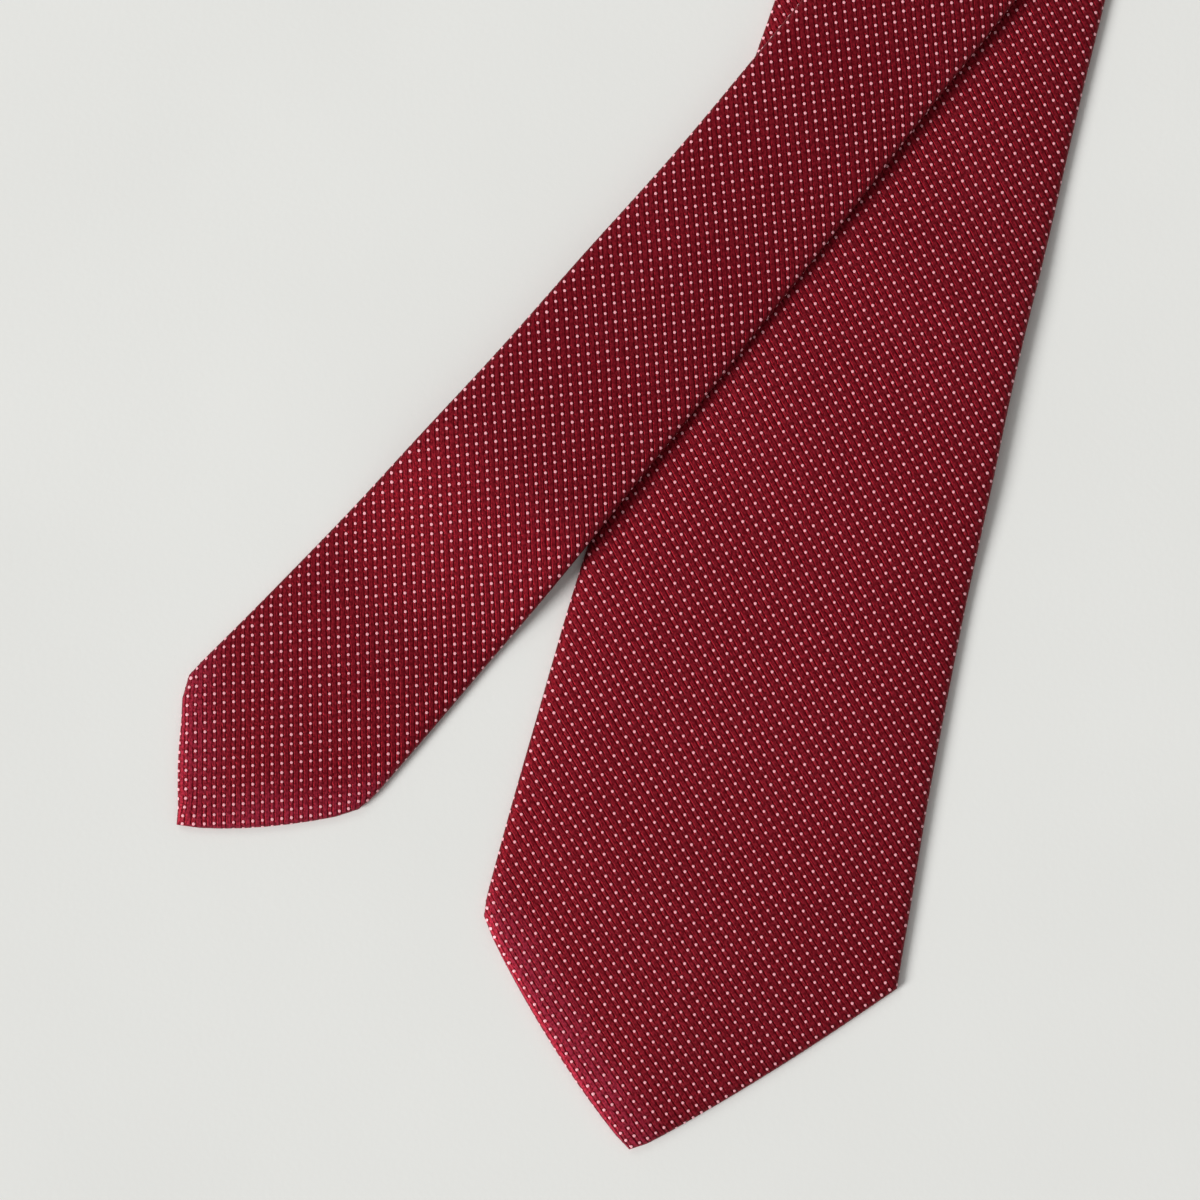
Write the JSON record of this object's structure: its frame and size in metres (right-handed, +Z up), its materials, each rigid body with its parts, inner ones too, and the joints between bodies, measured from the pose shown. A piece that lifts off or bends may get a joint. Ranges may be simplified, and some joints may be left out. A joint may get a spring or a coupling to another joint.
{
  "type": "necktie",
  "caption": "Pin-dot silk necktie laid flat with both blades face up, the narrow tail crossing over the wide front blade, folded at two hinged creases.",
  "frame": {"origin": "on the table, under the middle of the tie's plan as it lies folded", "axes": "+Z up from the table, +Y from the blades' tips towards the neck piece, +X to the right seen from above"},
  "size_m": [0.4024, 0.6469, 0.0077],
  "materials": {
    "silk": "crimson bias-cut ribbed silk with pale pink pin dots, soft sheen",
    "interlining": "matt cream wool",
    "lining": "smooth dark red lining cloth",
    "thread": "dark red sewing thread",
    "label": "blank cream satin tape"
  },
  "bodies": {
    "front": {"front_shell": "silk", "front_interlining": "interlining", "front_tipping": "lining", "front_slip_stitch": "thread", "front_hem_stitch": "thread", "front_piecing_seam": "thread", "front_bar_tack": "thread", "keeper_loop": "silk", "keeper_tack_left": "thread", "keeper_tack_right": "thread", "care_label": "label"},
    "neck": {"neck_shell": "silk", "neck_interlining": "interlining", "neck_slip_stitch": "thread"},
    "tail": {"tail_shell": "silk", "tail_interlining": "interlining", "tail_tipping": "lining", "tail_slip_stitch": "thread", "tail_hem_stitch": "thread", "tail_piecing_seam": "thread", "tail_bar_tack": "thread"}
  },
  "joints": [
    {"name": "front_fold", "type": "hinge", "parent": "front", "child": "neck", "pos_m": [0.07253, 0.31524, 0.0034], "axis": [-0.9165, -0.4001, 0], "range_deg": [0, 180]},
    {"name": "tail_fold", "type": "hinge", "parent": "neck", "child": "tail", "pos_m": [0.19628, 0.25428, 0.0034], "axis": [-0.2459, 0.9693, 0], "range_deg": [0, 180]}
  ]
}
